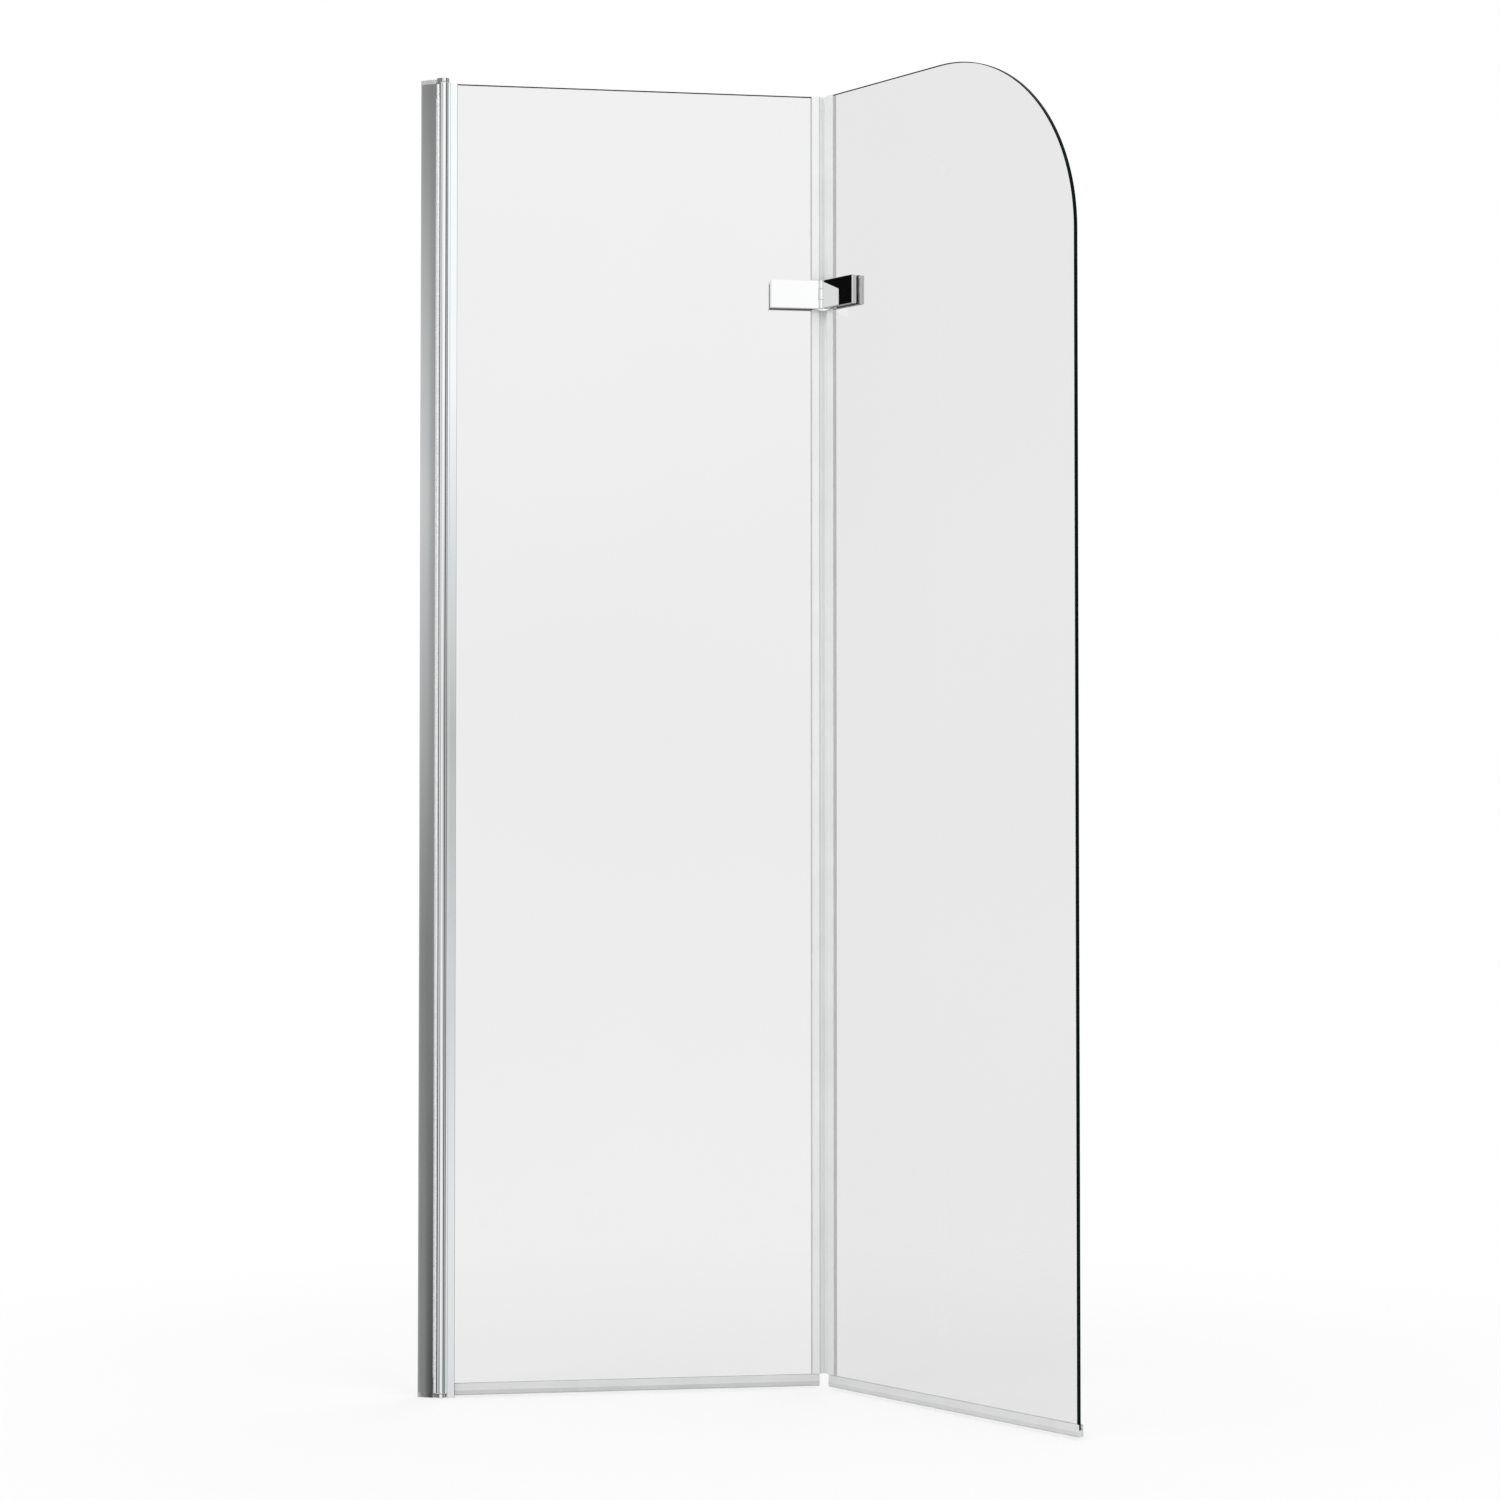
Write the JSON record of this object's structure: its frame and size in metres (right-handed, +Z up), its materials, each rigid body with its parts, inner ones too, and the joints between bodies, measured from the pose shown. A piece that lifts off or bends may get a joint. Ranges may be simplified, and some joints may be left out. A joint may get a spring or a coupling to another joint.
{
  "type": "folding bath screen",
  "caption": "Frameless folding bath screen: clear glass panels, one with a rounded top corner, hinged together and swinging on a slim chromed wall profile.",
  "frame": {"origin": "middle of the row of wall holes, on the wall face of the channel", "axes": "+X out of the wall into the room, +Z up, the outer panel folds towards -Y"},
  "size_m": [0.72, 0.2187, 1.4],
  "materials": {
    "polished_profile": "bright polished",
    "chrome": "mirror chrome",
    "steel": "plain stainless",
    "glass": "clear polished",
    "clear_seal": "clear soft extrusion",
    "soft_gasket": "matte",
    "nylon": "natural moulded"
  },
  "bodies": {
    "wall_profile": {"wall_channel": "polished_profile", "pivot_post": "polished_profile", "pivot_seal": "soft_gasket", "top_pivot_cap": "polished_profile", "bottom_pivot_cap": "polished_profile", "top_pivot_pin": "steel", "bottom_pivot_pin": "steel", "cap_screws": "steel", "side_screws": "steel", "side_screw_covers": "chrome"},
    "inner_panel": {"swing_profile": "polished_profile", "top_pivot_bush": "nylon", "bottom_pivot_bush": "nylon", "glazing_gasket": "soft_gasket", "setting_block": "nylon", "inner_glass": "glass", "inner_clip_lower": "clear_seal", "inner_clip_upper": "clear_seal", "fold_gusset_lower": "clear_seal", "fold_gusset_upper": "clear_seal", "inner_drip_seal": "clear_seal", "inner_hinge_front": "chrome", "inner_hinge_back": "chrome", "inner_hinge_front_gasket": "soft_gasket", "inner_hinge_back_gasket": "soft_gasket", "inner_hinge_screws": "steel", "inner_hinge_sleeves": "nylon", "hinge_pin": "steel"},
    "outer_panel": {"outer_glass": "glass", "outer_clip_lower": "clear_seal", "outer_clip_upper": "clear_seal", "outer_drip_seal": "clear_seal", "outer_hinge_front": "chrome", "outer_hinge_back": "chrome", "outer_hinge_front_gasket": "soft_gasket", "outer_hinge_back_gasket": "soft_gasket", "outer_hinge_screws": "steel", "outer_hinge_sleeves": "nylon", "hinge_washers": "nylon"}
  },
  "joints": [
    {"name": "wall_pivot", "type": "hinge", "parent": "wall_profile", "child": "inner_panel", "pos_m": [0.024, 0, 0], "axis": [0, 0, 1], "range_deg": [-115, 55]},
    {"name": "fold_hinge", "type": "hinge", "parent": "inner_panel", "child": "outer_panel", "pos_m": [0.38062, 0.19492, 0], "axis": [0, 0, -1], "range_deg": [-60.5, 114.5], "deforming": ["fold_gusset_lower", "fold_gusset_upper"]}
  ]
}
